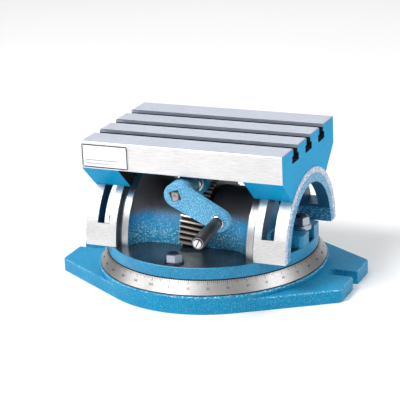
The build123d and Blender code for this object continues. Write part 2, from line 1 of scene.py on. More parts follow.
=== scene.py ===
# %% [markdown]
# # A tilting and swivelling work table
#
# The object is a machinist's work-holding table: a T-slotted cast-iron table that tilts on two
# half-round arches, on a casting that swivels over a degree ring. Its exact shape comes from a
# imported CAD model, which is loaded here as a fixed frame in metres. Blender adds what CAD leaves
# out: paint, ground iron, engraved marks, printing and light. Loading the model, instead of
# modelling it again, keeps every hole and joint where it belongs.

# %% Load the frame
import json
import math

import bmesh
import bpy
from mathutils import Matrix, Vector


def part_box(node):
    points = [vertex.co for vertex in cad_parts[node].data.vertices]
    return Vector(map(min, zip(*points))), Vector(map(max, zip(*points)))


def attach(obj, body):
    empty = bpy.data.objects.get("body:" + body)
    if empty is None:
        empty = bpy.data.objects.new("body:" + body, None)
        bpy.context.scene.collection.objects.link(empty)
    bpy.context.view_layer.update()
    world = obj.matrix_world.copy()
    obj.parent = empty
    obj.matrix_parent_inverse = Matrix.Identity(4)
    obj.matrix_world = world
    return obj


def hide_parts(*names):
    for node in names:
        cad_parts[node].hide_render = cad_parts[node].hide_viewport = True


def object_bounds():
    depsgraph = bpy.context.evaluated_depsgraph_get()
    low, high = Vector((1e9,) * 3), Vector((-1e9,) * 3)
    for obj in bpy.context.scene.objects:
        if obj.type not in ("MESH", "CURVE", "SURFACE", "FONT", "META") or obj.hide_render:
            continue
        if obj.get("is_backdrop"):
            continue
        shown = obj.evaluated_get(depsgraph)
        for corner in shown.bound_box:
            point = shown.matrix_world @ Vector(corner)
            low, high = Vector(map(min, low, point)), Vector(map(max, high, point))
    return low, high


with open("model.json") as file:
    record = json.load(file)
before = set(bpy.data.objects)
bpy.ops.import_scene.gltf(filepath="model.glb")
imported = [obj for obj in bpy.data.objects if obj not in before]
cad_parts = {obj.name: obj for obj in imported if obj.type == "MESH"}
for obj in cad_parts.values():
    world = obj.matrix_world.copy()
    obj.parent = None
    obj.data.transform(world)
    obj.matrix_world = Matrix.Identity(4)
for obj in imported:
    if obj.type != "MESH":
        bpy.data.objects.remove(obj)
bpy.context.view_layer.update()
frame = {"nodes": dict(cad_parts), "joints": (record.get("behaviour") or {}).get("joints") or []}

nodes = frame["nodes"]
scene = bpy.context.scene

# %% [markdown]
# ## Sizes that the looks need
#
# Where a finish changes from paint to ground metal depends on where the surface is: the arches
# are ground only on their outer bands, for example. Typing every such place in by hand would
# work, but the sizes would go stale when the model changes. So those that a node's box gives are
# read from the loaded model, and only what a box can't tell is written as a number.

# %% Sizes and axes
MM = 0.001
table_low, table_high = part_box("table_casting")
arch_low, arch_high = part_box("arch_right")

TABLE_TOP = table_high.z
TILT_Z = arch_low.z                 # the tilt axis is level with the arches' feet
ARCH_IN = arch_low.x
ARCH_OUT = arch_high.x
ARCH_R = arch_high.y                # the arches' outer radius, round the tilt axis
ARCH_BORE = ARCH_R - 18 * MM
print("table", [round(v / MM) for v in table_high - table_low], "mm, top at", round(TABLE_TOP / MM))

# %% [markdown]
# ## Camera
#
# The object is seen from the front right and a little above, through a long lens from well away,
# which keeps its edges nearly parallel. A camera could be placed by typing its location and
# angles. Here it is placed by its direction and distance from a point in front of the table,
# because those are easier to imagine and to change. It is then rolled a little about its own
# line of sight, which tips the table in the view.

# %% Camera
AZIMUTH = math.radians(24.15)
ELEVATION = math.radians(18.64)
ROLL = math.radians(-2.6)
AIM = Vector((0.1095, -0.2784, 0.1935))
DISTANCE = 1.6689                   # metres
LENS = 146.9                        # millimetres

towards_camera = Vector((
    math.sin(AZIMUTH) * math.cos(ELEVATION),
    -math.cos(AZIMUTH) * math.cos(ELEVATION),
    math.sin(ELEVATION),
))
camera = bpy.data.objects.new("camera", bpy.data.cameras.new("camera"))
scene.collection.objects.link(camera)
camera.matrix_world = (
    Matrix.Translation(AIM + towards_camera * DISTANCE)
    @ Matrix.Rotation(AZIMUTH, 4, "Z")
    @ Matrix.Rotation(math.pi / 2 - ELEVATION, 4, "X")
    @ Matrix.Rotation(ROLL, 4, "Z")
)
camera.data.lens = LENS
camera.data.clip_end = 20
scene.camera = camera
scene.view_settings.view_transform = "Standard"  # keeps the paint's own blue in bright light
print("camera at", [round(v, 3) for v in camera.matrix_world.translation])

# %% [markdown]
# ## Colours and nodes
#
# A paint colour is easiest to write as an sRGB hex value, but shaders work in linear light, so
# one function converts it. Nodes could be added and linked one statement at a time, but each
# material would then fill pages. A second function adds a node of any kind with its settings
# and links in one call, which keeps the material cells short enough to read.

# %% Helpers for colours and nodes
def linear(hex_colour):
    """Linear RGBA from an sRGB hex value, by the standard sRGB curve."""
    srgb = [int(hex_colour[i:i + 2], 16) / 255 for i in (1, 3, 5)]
    return tuple(c / 12.92 if c <= 0.04045 else ((c + 0.055) / 1.055) ** 2.4 for c in srgb) + (1,)


def set_input(tree, socket, value):
    """Give an input socket a plain value, or a link from another node's output."""
    if isinstance(value, bpy.types.NodeSocket):
        tree.links.new(value, socket)
    else:
        socket.default_value = value


def add_node(tree, kind, inputs=None, **settings):
    """Add a shader node. inputs maps a socket's name or number to a value or another socket."""
    node = tree.nodes.new("ShaderNode" + kind)
    for name, value in settings.items():
        setattr(node, name, value)
    for key, value in (inputs or {}).items():
        set_input(tree, node.inputs[key], value)
    return node


# %% [markdown]
# ## Looks and materials
#
# Here a look is a small set of four things: colour, metal, roughness and height. Whole shaders
# could be mixed instead, but then a bake has several shaders to untangle. Looks are mixed first
# and meet in one Principled shader at the end, whose bump comes from the height.

# %% Materials from looks
LOOK_SOCKETS = {"colour": "Base Color", "metal": "Metallic", "rough": "Roughness"}


def new_material(name):
    """An empty node material: the material, its tree and its Principled shader."""
    material = bpy.data.materials.new(name)
    material.use_nodes = True
    return material, material.node_tree, material.node_tree.nodes["Principled BSDF"]


def feed(tree, shader, look, bump_mm=0.1, shine=0.3):
    """Join a look to a Principled shader. shine is how strongly it reflects where it isn't metal."""
    for key, socket in LOOK_SOCKETS.items():
        set_input(tree, shader.inputs[socket], look[key])
    shader.inputs["Specular IOR Level"].default_value = shine
    bump = add_node(tree, "Bump", {"Height": look["height"], "Distance": bump_mm * MM})
    tree.links.new(bump.outputs["Normal"], shader.inputs["Normal"])


def put_on(material, *names):
    """Give CAD nodes a material."""
    for name in names:
        mesh = nodes[name].data
        mesh.materials.clear()
        mesh.materials.append(material)
    print(material.name, "on", ", ".join(names))


# %% [markdown]
# ## Masks
#
# A casting that is partly painted and partly ground needs both looks in one material. Faces
# could be picked by hand and given a material each, but the model's faces mustn't be touched.
# A mask that is 1 on the ground parts does the same work. It is made from the surface's own
# place in the model, so it stays put when the casting moves.

# %% Places and masks
COMPARISONS = {">": "GREATER_THAN", "<": "LESS_THAN"}


def place(tree):
    """Sockets that say where a point is, and which way its surface faces."""
    coords = add_node(tree, "TexCoord")
    xyz = add_node(tree, "SeparateXYZ", {0: coords.outputs["Object"]})
    facing = add_node(tree, "SeparateXYZ", {0: coords.outputs["Normal"]})
    rise = add_node(tree, "Math", {0: xyz.outputs["Z"], 1: TILT_Z}, operation="SUBTRACT")
    from_axis = add_node(tree, "CombineXYZ", {"Y": xyz.outputs["Y"], "Z": rise.outputs[0]})
    radius = add_node(tree, "VectorMath", {0: from_axis.outputs[0]}, operation="LENGTH")
    side = add_node(tree, "Math", {0: xyz.outputs["X"]}, operation="ABSOLUTE")
    depth = add_node(tree, "Math", {0: xyz.outputs["Y"]}, operation="ABSOLUTE")
    return {
        "coords": coords.outputs["Object"],
        "z": xyz.outputs["Z"],
        "side": side.outputs[0],            # distance to the left or right of the middle
        "depth": depth.outputs[0],          # distance in front of the middle or behind it
        "radius": radius.outputs["Value"],  # distance from the tilt axis
        "up": facing.outputs["Z"],          # 1 where the surface faces straight up
    }


def where(tree, at, *tests):
    """A mask that is 1 where every (place, comparison, number) test holds, and 0 elsewhere."""
    mask = None
    for key, comparison, number in tests:
        test = add_node(tree, "Math", {0: at[key], 1: number}, operation=COMPARISONS[comparison])
        if mask is None:
            mask = test.outputs[0]
        else:
            both = add_node(tree, "Math", {0: mask, 1: test.outputs[0]}, operation="MINIMUM")
            mask = both.outputs[0]
    return mask


# %% [markdown]
# ## Mixing looks
#
# A real casting gets its finishes one after another: it is sprayed, then ground, then oiled. The
# layers here are laid in the same way, each one over the last where its mask is 1. A property
# that is the same in both looks stays a plain number, because an export keeps a plain number
# and may lose one that arrives through a mix.

# %% Mixing looks
COLOUR_A, COLOUR_B, COLOUR_OUT = 6, 7, 2    # a Mix node's sockets share names, so go by number
NUMBER_A, NUMBER_B, NUMBER_OUT = 2, 3, 0


def mix_looks(tree, mask, first, second):
    """The first look where mask is 0 and the second where it is 1."""
    colour = add_node(tree, "Mix", {
        "Factor": mask, COLOUR_A: first["colour"], COLOUR_B: second["colour"],
    }, data_type="RGBA")
    mixed = {"colour": colour.outputs[COLOUR_OUT]}
    for key in ("metal", "rough", "height"):
        if first[key] == second[key]:
            mixed[key] = first[key]
        else:
            number = add_node(tree, "Mix", {
                "Factor": mask, NUMBER_A: first[key], NUMBER_B: second[key],
            }, data_type="FLOAT")
            mixed[key] = number.outputs[NUMBER_OUT]
    return mixed


def layer(tree, at, look, masks, finishes):
    """Lay finishes over a look. Each is a mask's name, a function that makes a look, settings."""
    for part, make_look, settings in finishes:
        look = mix_looks(tree, masks[part], look, make_look(tree, at["coords"], **settings))
    return look


# %% [markdown]
# ## Hammer-finish enamel
#
# The castings are sand-cast iron sprayed with blue hammer enamel. As it dries the paint draws
# into shallow cells one to two millimetres across, so a lit face sparkles with pale specks while
# a shaded one stays deep blue. A Voronoi pattern gives the cells, a noise nearly as fine breaks
# them up, and the rims of the cells are lifted towards pale blue in the colour itself: painted
# glints, the same on lit and shaded faces. A painted image could do this too, but a pattern has
# no seams. The bump does most of the sparkle.

# %% Hammer enamel look
CELL = 1.5 * MM                     # across one cell of the paint
GRIT = MM / 0.7                     # about 1.4 mm, the lumps that break the cells up
MOTTLE = MM / 0.03                  # about 33 mm, over which the paint's tone drifts


def enamel_look(tree, coords, speckle=0.5, cell=CELL, blue="#0899C6", deep="#0780AF",
                pale="#B4E2F6", rough=0.3):
    """Blue hammer enamel. speckle is how pale the rims of its cells are, cell how far apart."""
    cells = add_node(tree, "TexVoronoi", {
        "Vector": coords, "Scale": 1 / cell, "Smoothness": 0.4}, feature="SMOOTH_F1")
    grit = add_node(tree, "TexNoise", {"Vector": coords, "Scale": 1 / GRIT, "Detail": 2.0})
    mottle = add_node(tree, "TexNoise", {"Vector": coords, "Scale": 1 / MOTTLE, "Detail": 2.0})
    height = add_node(tree, "Math", {
        0: cells.outputs["Distance"], 1: grit.outputs["Fac"]}, operation="ADD")
    # the pale rims of the cells are painted glints, put into the colour on lit and shaded faces alike
    painted_glints = add_node(tree, "MapRange", {
        "Value": height.outputs[0], "From Min": 1.0, "From Max": 1.35, "To Max": speckle})
    ground = add_node(tree, "Mix", {
        "Factor": mottle.outputs["Fac"], COLOUR_A: linear(deep), COLOUR_B: linear(blue),
    }, data_type="RGBA")
    colour = add_node(tree, "Mix", {
        "Factor": painted_glints.outputs["Result"], COLOUR_A: ground.outputs[COLOUR_OUT],
        COLOUR_B: linear(pale),
    }, data_type="RGBA")
    return {"colour": colour.outputs[COLOUR_OUT], "metal": 0.0, "rough": rough,
            "height": height.outputs[0]}


# %% [markdown]
# ## Ground and turned iron
#
# The table's top and edges and the arches' bands are ground. A grinding wheel leaves fine
# parallel scratches, all running one way, and a soft bright shine. A wave pattern would give
# lines that look ruled, so the scratches are a noise squeezed hard across the grinding direction.
# Real ones are a few hundredths of a millimetre apart, too fine to show here, so they are drawn
# about a third of a millimetre apart.

# %% Ground iron look
SCRATCH = 0.35 * MM
SHEEN_PATCH = 50 * MM               # over which the roughness drifts


def ground_look(tree, coords, grain, low="#D6D5D6", high="#F6F4F3", rough=(0.34, 0.5), metal=1.0):
    """Ground iron. grain squeezes the pattern along X, Y and Z: small along the scratches."""
    along = add_node(tree, "VectorMath", {0: coords, 1: grain}, operation="MULTIPLY")
    scratches = add_node(tree, "TexNoise", {
        "Vector": along.outputs[0], "Scale": 1 / SCRATCH, "Detail": 4.0, "Roughness": 0.7})
    patches = add_node(tree, "TexNoise", {
        "Vector": coords, "Scale": 1 / SHEEN_PATCH, "Detail": 3.0})
    tone = add_node(tree, "MapRange", {
        "Value": scratches.outputs["Fac"], "From Min": 0.35, "From Max": 0.65})
    colour = add_node(tree, "Mix", {
        "Factor": tone.outputs["Result"], COLOUR_A: linear(low), COLOUR_B: linear(high),
    }, data_type="RGBA")
    sheen = add_node(tree, "MapRange", {
        "Value": patches.outputs["Fac"], "To Min": rough[0], "To Max": rough[1]})
    return {"colour": colour.outputs[COLOUR_OUT], "metal": metal,
            "rough": sheen.outputs["Result"], "height": scratches.outputs["Fac"]}


# %% [markdown]
# ## Dark iron and plain surfaces
#
# Slots, bores, joints, the table's hollow and the top of the drum are made dark with this look,
# mostly as painted shade where little light reaches; in the gear's gaps it stands for oil. One
# slow noise between two tones makes it a little patchy, with a dull shine. With other tones the
# same look serves for plastic and printing, which are also nearly plain.

# %% Dark iron look
DARK_PATCH = MM / 0.06               # about 17 mm across


def dark_look(tree, coords, low, high, metal=0.5, rough=0.4):
    """A nearly plain surface between two tones, a little patchy."""
    patches = add_node(tree, "TexNoise", {"Vector": coords, "Scale": 1 / DARK_PATCH, "Detail": 5.0})
    colour = add_node(tree, "Mix", {
        "Factor": patches.outputs["Fac"], COLOUR_A: linear(low), COLOUR_B: linear(high),
    }, data_type="RGBA")
    return {"colour": colour.outputs[COLOUR_OUT], "metal": metal, "rough": rough,
            "height": patches.outputs["Fac"]}


# %% [markdown]
# ## Where the swivel casting's finishes are
#
# The swivel is one iron casting: a disc, a drum and two arches. The arches carry the table, so
# their outer bands are ground bright, and a strip beside each band is turned with them. Slot
# walls and bores are made dark, as painted shade inside the arches. Along the top of the drum,
# under the table, the blue fades to dark grey: painted shade from the table above. Each place
# is a test or two on height, radius and distance from the middle. Outlines painted by hand would
# be freer, but these follow the machined shape exactly.

# %% Places on the swivel casting
NEAR = 0.3 * MM                     # a point this close to a surface counts as on it
HAIR = 0.2 * MM                     # a finer allowance, at edges
disc_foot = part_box("swivel_disc")[0].z
# a dark line painted along the disc's foot: painted shade in the narrow joint with the ring
SHADE_LINE_HIGH = 1 * MM                  # dark joint between the disc and the ring
STRIP_IN = 76 * MM                  # the strip starts this far from the middle
STRIP_R = 81 * MM                   # and has this radius
STEP_WIDE = 3.6 * MM                # dark step between the strip and the arch
SLOT_IN = ARCH_IN + 2 * MM
SLOT_OUT = ARCH_OUT - 1 * MM
BORE_FROM = TILT_Z + 18 * MM        # the bore is painted like the drum below this
RIM_DEEP = 0.4 * MM                 # how far the arch's end face reaches into the iron
RIM_WIDE = 9 * MM                   # the widest that its pale paint gets
FRAYED_WIDE = 3.6 * MM              # the paint's width where it is thinnest
FRAY = 4 * MM                       # how much wider it gets where the paint's height is 1
FLAT = 0.9                          # the disc's face looks straight up, or nearly
# heights over which painted shade darkens the top of the drum under the table: first the glints fade,
# then the blue turns dark grey
DRUM_SHADE_SOFT = (TILT_Z + 14 * MM, TILT_Z + 28 * MM)
DRUM_SHADE_DARK = (TILT_Z + 31 * MM, TILT_Z + 41 * MM)
print("arch bands", round((ARCH_OUT - ARCH_IN) / MM, 1), "mm wide, radius", round(ARCH_R / MM, 1))

# %% [markdown]
# ## Masks of the swivel casting
#
# Each mask is named for its part of the casting, so that the list of finishes can call it by
# that name. Most masks have hard edges, as a machined face has. The painted shade along the top
# of the drum fades in instead, over a centimetre or so, and the pale paint on the arches' ends
# has a frayed edge, which the height of the paint's own cells gives.

# %% Masks of the swivel casting
def fade_up(tree, at, inside, heights):
    """A mask that rises from 0 to 1 between two heights, within another mask."""
    rise = add_node(tree, "MapRange", {
        "Value": at["z"], "From Min": heights[0], "From Max": heights[1]})
    within = add_node(tree, "Math", {0: inside, 1: rise.outputs[0]}, operation="MULTIPLY")
    return within.outputs[0]


def swivel_masks(tree, at, paint_height):
    """Masks of the swivel's finishes. The paint's height frays the pale rim of the arches."""
    lift = add_node(tree, "Math", {0: paint_height, 1: FRAY}, operation="MULTIPLY")
    frayed = add_node(tree, "Math", {0: at["radius"], 1: lift.outputs[0]}, operation="ADD")
    at = {**at, "frayed": frayed.outputs[0]}
    above = ("z", ">", TILT_Z + NEAR)
    inside = where(tree, at, ("side", "<", STRIP_IN))
    return {
        "seam": where(tree, at, ("z", "<", disc_foot + SHADE_LINE_HIGH)),
        "thin": fade_up(tree, at, inside, DRUM_SHADE_SOFT),
        "bare": fade_up(tree, at, inside, DRUM_SHADE_DARK),
        "band": where(tree, at, ("side", ">", ARCH_IN + HAIR), ("radius", ">", ARCH_R - NEAR),
                      above),
        "strip": where(tree, at, ("side", ">", STRIP_IN + HAIR), ("side", "<", ARCH_IN),
                       ("radius", ">", STRIP_R - NEAR), above),
        "step": where(tree, at, ("side", ">", ARCH_IN - STEP_WIDE), ("side", "<", ARCH_IN + HAIR),
                      ("radius", ">", STRIP_R - NEAR), above),
        "bore": where(tree, at, ("side", ">", ARCH_IN - HAIR), ("side", "<", ARCH_OUT - RIM_DEEP),
                      ("radius", "<", ARCH_BORE + NEAR), ("z", ">", BORE_FROM)),
        "slot": where(tree, at, ("side", ">", SLOT_IN), ("side", "<", SLOT_OUT),
                      ("radius", ">", ARCH_BORE + NEAR), ("radius", "<", ARCH_R - NEAR), above),
        "rim": where(tree, at, ("side", ">", ARCH_OUT - RIM_DEEP), ("radius", ">", ARCH_R - RIM_WIDE),
                     ("frayed", ">", ARCH_R - FRAYED_WIDE), above),
        "face": where(tree, at, ("up", ">", FLAT), ("z", "<", TILT_Z + NEAR),
                      ("z", ">", TILT_Z - NEAR)),
    }


# %% [markdown]
# ## The swivel casting's finishes
#
# The masks say where, and this list says what. The drum and the arches have lively hammer
# enamel. The disc has a smoother coat, and its face is turned and almost a mirror, with dark tones
# that paint in the reflection of the dark parts round it. One function makes both materials,
# because only the paint between the machined parts differs.

# %% Swivel casting
BAND_GRAIN = (0.06, 1.0, 1.0)       # scratches along the tilt axis
STRIP_GRAIN = (1.0, 0.06, 0.06)     # tool marks round it
SWIVEL_FINISHES = [
    # seam: the painted shade line in the joint between the disc and the ring
    ("seam", dark_look, {"low": "#14181C", "high": "#23282D", "metal": 0.1}),
    # thin and bare below paint the shade that the table casts on the top of the drum
    ("thin", enamel_look, {"speckle": 0.3, "blue": "#0897D2", "deep": "#067DB8"}),
    ("bare", dark_look, {"low": "#5A595D", "high": "#7C7A7F", "metal": 0.0, "rough": 0.6}),
    ("band", ground_look, {"grain": BAND_GRAIN, "metal": 0.75}),
    ("strip", ground_look, {"grain": STRIP_GRAIN}),
    # step: rough iron, darkened further as painted shade in the recess beside the band
    ("step", dark_look, {"low": "#39454F", "high": "#8795A0"}),
    # bore and slot: their dark blue is painted shade inside the arches
    ("bore", dark_look, {"low": "#255676", "high": "#3A7CA4", "metal": 0.1}),
    ("slot", dark_look, {"low": "#143F58", "high": "#22688C", "metal": 0.2}),
    ("rim", enamel_look, {"speckle": 1.0, "cell": 2 * MM, "blue": "#BCC8E4", "deep": "#93A9CF",
                          "pale": "#FFFFFF", "rough": 0.5}),
    # face: its dark tones are a painted reflection of the dark parts round it, over its real shine
    ("face", dark_look, {"low": "#33434F", "high": "#5A6C78", "metal": 0.75, "rough": 0.27}),
]


def swivel_material(name, speckle, deep):
    """Enamel with every ground face of the swivel casting, its dark mirror face and its painted
    shade.
    """
    material, tree, shader = new_material(name)
    at = place(tree)
    paint = enamel_look(tree, at["coords"], speckle=speckle, deep=deep)
    masks = swivel_masks(tree, at, paint["height"])
    feed(tree, shader, layer(tree, at, paint, masks, SWIVEL_FINISHES), bump_mm=0.3, shine=0.4)
    return material


put_on(swivel_material("hammer enamel and ground bands on cast iron", 0.85, "#0676A8"),
       "swivel_drum", "arch_right", "arch_left")
put_on(swivel_material("smooth enamel round a dark mirror face on cast iron", 0.12, "#0676A6"),
       "swivel_disc")

# %% [markdown]
# ## Where the table casting's finishes are
#
# The table is one casting too: a thick plate with three T-slots, two saddles that ride on the
# arches, and a hollow between them. Its top and its long edges are ground, its T-slots are
# milled, and the rest is as cast. The places are tested in the same way as on the swivel, but
# on height, side and depth only, because nothing on the table is round.

# %% Masks of the table casting
BAND_Z = TABLE_TOP - 33 * MM        # lower edge of the ground band along the front and back
EDGE_DEEP = 1.1 * MM                # how far a ground face's look reaches into the iron
TOP_DEEP = 0.9 * MM
SKIN = 0.5 * MM                     # slots and hollow stay this far inside the ground faces
SLOT_FOOT = TABLE_TOP - 18.5 * MM
NECK_FOOT = TABLE_TOP - 3.4 * MM    # lower edge of the lighter part of a neck
SLOTS_WITHIN = 60 * MM              # all three slots lie this close to the middle
HOLLOW_SIDE = 79.5 * MM             # the hollow lies between the saddles
HOLLOW_TOP = BAND_Z + 9 * MM


def table_masks(tree, at):
    """Masks of the table's finishes."""
    in_slots = [("z", "<", TABLE_TOP - SKIN), ("depth", "<", SLOTS_WITHIN),
                ("side", "<", table_high.x - HAIR)]
    return {
        "hollow": where(tree, at, ("side", "<", HOLLOW_SIDE), ("z", "<", HOLLOW_TOP),
                        ("depth", "<", table_high.y - SKIN)),
        "slots": where(tree, at, ("z", ">", SLOT_FOOT), *in_slots),
        "necks": where(tree, at, ("z", ">", NECK_FOOT), *in_slots),
        "edge": where(tree, at, ("depth", ">", table_high.y - EDGE_DEEP), ("z", ">", BAND_Z + HAIR)),
        "top": where(tree, at, ("z", ">", TABLE_TOP - TOP_DEEP)),
    }


# %% [markdown]
# ## The table casting's finishes
#
# The top and the long edges are ground along X. The ends and the saddles are painted and
# smooth, with only a trace of the hammer pattern. The hollow underneath is rough and nearly
# black: painted shade under the table. The T-slots are dark, and the upper part of their necks is
# lighter. The top's tones are bluer and darker than the edges', since a face that lies flat
# mirrors the room above it: a painted reflection.

# %% Table casting
TABLE_GRAIN = (0.03, 1.0, 1.0)      # scratches along X
TABLE_FINISHES = [
    # hollow: its near-black is painted shade under the table
    ("hollow", dark_look, {"low": "#232124", "high": "#343236", "metal": 0.0, "rough": 0.7}),
    ("slots", dark_look, {"low": "#24262A", "high": "#3B3D42", "metal": 0.6}),
    ("necks", dark_look, {"low": "#8B94A6", "high": "#B3BAC8", "metal": 0.4}),
    ("edge", ground_look, {"grain": TABLE_GRAIN}),
    ("top", ground_look, {"grain": TABLE_GRAIN, "low": "#B9C0D0", "high": "#DDE1EA",
                          "metal": 0.75}),
]


def table_material():
    """Smooth enamel with ground top and edges, dark T-slots and a hollow painted dark as shade."""
    material, tree, shader = new_material("ground top, painted ends and bare hollow on cast iron")
    at = place(tree)
    paint = enamel_look(tree, at["coords"], speckle=0.06, blue="#03A5DA", deep="#0299CF", rough=0.4)
    look = layer(tree, at, paint, table_masks(tree, at), TABLE_FINISHES)
    feed(tree, shader, look, bump_mm=0.05, shine=0.05)
    return material


put_on(table_material(), "table_casting")

# %% [markdown]
# ## The painted castings
#
# The base, the worm housing and the crank's arm are enamelled all over, with nothing ground.
# The base's rounded edges are paler: a painted highlight on edges that face between sideways and
# up, which its material finds by the way the surface faces. The crank's arm is paler too, with
# paler specks closer together: a painted highlight for the light its front face catches.

# %% Painted castings
BASE_CELL = 1.2 * MM
ROUNDED = (0.25, 0.93)              # an edge faces between sideways (0) and straight up (1)
# painted highlight: the base's rounded edges, facing between sideways and up, are made paler
PAINTED_EDGE_HIGHLIGHT = [("edge", enamel_look, {
    "speckle": 0.65, "cell": 1.6 * MM, "blue": "#1C9DCA", "pale": "#E4F5FF"})]


def base_material():
    """Hammer enamel with a painted highlight on the rounded edges, where they catch the light."""
    material, tree, shader = new_material("hammer enamel with painted edge highlights on cast iron")
    at = place(tree)
    edge = where(tree, at, ("up", ">", ROUNDED[0]), ("up", "<", ROUNDED[1]))
    look = enamel_look(tree, at["coords"], speckle=0.17, cell=BASE_CELL)
    look = layer(tree, at, look, {"edge": edge}, PAINTED_EDGE_HIGHLIGHT)
    feed(tree, shader, look, bump_mm=0.16, shine=0.12)
    return material


def painted_material(name, shine, **paint):
    """Hammer enamel all over. paint is the settings of its look."""
    material, tree, shader = new_material(name)
    coords = add_node(tree, "TexCoord").outputs["Object"]
    feed(tree, shader, enamel_look(tree, coords, **paint), bump_mm=0.16, shine=shine)
    return material


put_on(base_material(), "base_casting")
put_on(painted_material("hammer enamel on cast iron", 0.12, speckle=0.17, cell=BASE_CELL),
       "worm_housing")
# the arm's paler blue and paler specks are a painted highlight for the light on its front
put_on(painted_material("pale hammer enamel on cast iron", 0.3, speckle=1.0, cell=0.9 * MM,
                        blue="#4FABD5", deep="#2589BD"), "crank_arm")

# %% [markdown]
# ## Small metal parts
#
# Collars, nuts and washers are turned, plated or blackened steel. They differ in colour,
# roughness and the way their tool marks run. A metal's colour is its reflection, so the bare
# steel is pale grey and the blackened steel is dark. One function makes them all from the look
# of ground iron, because only the tones, the shine and the grain differ.

# %% Small metal parts
TURNED_GRAIN = (1, 0.1, 1)          # tool marks drawn out along Y, as the shaft lies
STEEL_TONES = ("#C3C5C9", "#F0F0F1")


def metal_material(name, low, high, rough, grain=(1.0, 1.0, 1.0)):
    """One kind of metal between two tones."""
    material, tree, shader = new_material(name)
    coords = add_node(tree, "TexCoord").outputs["Object"]
    look = ground_look(tree, coords, grain, low, high, rough=(rough, rough + 0.1))
    feed(tree, shader, look, bump_mm=0.03)
    return material


put_on(metal_material("turned bright steel", *STEEL_TONES, 0.2, TURNED_GRAIN),
       "thrust_collar_front", "thrust_collar_rear", "collar_pins", "worm_bushes",
       "handle_spindle", "spindle_collar", "oil_nipple", "plate_rivets")
put_on(metal_material("zinc plated steel", "#7A8291", "#C6CCD7", 0.26),
       "lock_nut_front", "lock_nut_back", "lock_nut_left", "lock_nut_right",
       "clamp_washers", "pad_washers")
put_on(metal_material("blackened steel", "#2C2F38", "#565C6B", 0.35),
       "lock_washers", "lock_studs", "housing_screws", "sector_screws",
       "clamp_bolt_front_left", "clamp_bolt_front_right",
       "clamp_bolt_back_left", "clamp_bolt_back_right")

# %% [markdown]
# ## The degree ring
#
# The ring is turned steel with a sloping face, pressed onto the base. A dark line is painted
# round the bright steel along the joints at its top edge and its foot: painted shade in the narrow
# gaps there. The gaps could be modelled, but here the line is a layer of the dark look in two places.

# %% Degree ring
ring_low, ring_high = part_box("degree_ring")
# widths of the painted shade lines at the ring's foot and top edge
FOOT_SHADE_LINE = 1.3 * MM
EDGE_SHADE_LINE = 0.4 * MM
SHADE_LINE_TONES = {"low": "#1C2228", "high": "#30373E"}


def ring_material():
    """Turned steel, with painted shade lines in the joints along its top edge and its foot."""
    material, tree, shader = new_material("turned ring steel")
    at = place(tree)
    masks = {
        "foot": where(tree, at, ("z", "<", ring_low.z + FOOT_SHADE_LINE)),
        "edge": where(tree, at, ("z", ">", ring_high.z - EDGE_SHADE_LINE)),
    }
    look = ground_look(tree, at["coords"], (1, 1, 0.1), "#A8A6A6", "#DAD7D5", rough=(0.33, 0.45))
    look = layer(tree, at, look, masks, [("foot", dark_look, SHADE_LINE_TONES), ("edge", dark_look, SHADE_LINE_TONES)])
    feed(tree, shader, look, bump_mm=0.03)
    return material


put_on(ring_material(), "degree_ring")

# %% [markdown]
# ## The worm shaft
#
# The shaft is bright turned steel, but its front end is filed square and sits in the crank's
# boss, where it is made dark. The middle and the foot of that square are lighter. A separate
# piece could carry the square, but the shaft is one solid. So the two darker looks are mixed by
# the distance from the centre, sideways and upward, and then laid over the end only.

# %% Worm shaft
shaft_low, shaft_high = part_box("worm_shaft")
SHAFT_END = -shaft_low.y
SHAFT_Z = (shaft_low.z + shaft_high.z) / 2
END_DEEP = 0.5 * MM
# the square end is lighter this close to its centre and fully dark this far from it
LIGHT_WITHIN = 2.5 * MM                   # rubbed bright this close to the centre
DARK_BEYOND = 5 * MM                       # all oil this far from it


def shaft_material():
    """Bright turned steel whose squared front end, inside the crank's boss, is dark."""
    material, tree, shader = new_material("turned steel with a dark square end")
    at = place(tree)
    end = where(tree, at, ("depth", ">", SHAFT_END - END_DEEP))
    rise = add_node(tree, "Math", {0: at["z"], 1: SHAFT_Z}, operation="SUBTRACT")
    from_centre = add_node(tree, "Math", {0: rise.outputs[0], 1: at["side"]}, operation="MAXIMUM")
    lightening = add_node(tree, "MapRange", {
        "Value": from_centre.outputs[0], "From Min": DARK_BEYOND, "From Max": LIGHT_WITHIN})
    oily = dark_look(tree, at["coords"], "#2A2422", "#4A413C", metal=0.6, rough=0.45)
    lighter_look = dark_look(tree, at["coords"], "#8F8780", "#C9C3BD", metal=0.8, rough=0.4)
    square = mix_looks(tree, lightening.outputs["Result"], oily, lighter_look)
    bright = ground_look(tree, at["coords"], TURNED_GRAIN, *STEEL_TONES)
    feed(tree, shader, mix_looks(tree, end, bright, square), bump_mm=0.03)
    return material


put_on(shaft_material(), "worm_shaft")

# %% [markdown]
# ## The grip's screw
#
# A slotted screw holds the grip on its spindle. Its head is bright and its slot is black,
# because no light gets to the bottom. The slot is already cut in the model. Lamps as soft as
# these would still light it a little, so everything below the head's face is made dark.

# %% Grip screw
SCREW_FACE = -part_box("grip_screw")[0].y
SLOT_SHADE = 0.75 * MM              # it is dark from this far below the head's face


def screw_material():
    """Bright steel with a dark slot."""
    material, tree, shader = new_material("bright steel with a dark slot")
    at = place(tree)
    masks = {"slot": where(tree, at, ("depth", "<", SCREW_FACE - SLOT_SHADE))}
    look = ground_look(tree, at["coords"], (1, 1, 1), "#C9CBD0", "#F2F2F3")
    look = layer(tree, at, look, masks, [
        ("slot", dark_look, {"low": "#1B1B1D", "high": "#2C2C2F", "metal": 0.2})])
    feed(tree, shader, look, bump_mm=0.02)
    return material


put_on(screw_material(), "grip_screw")

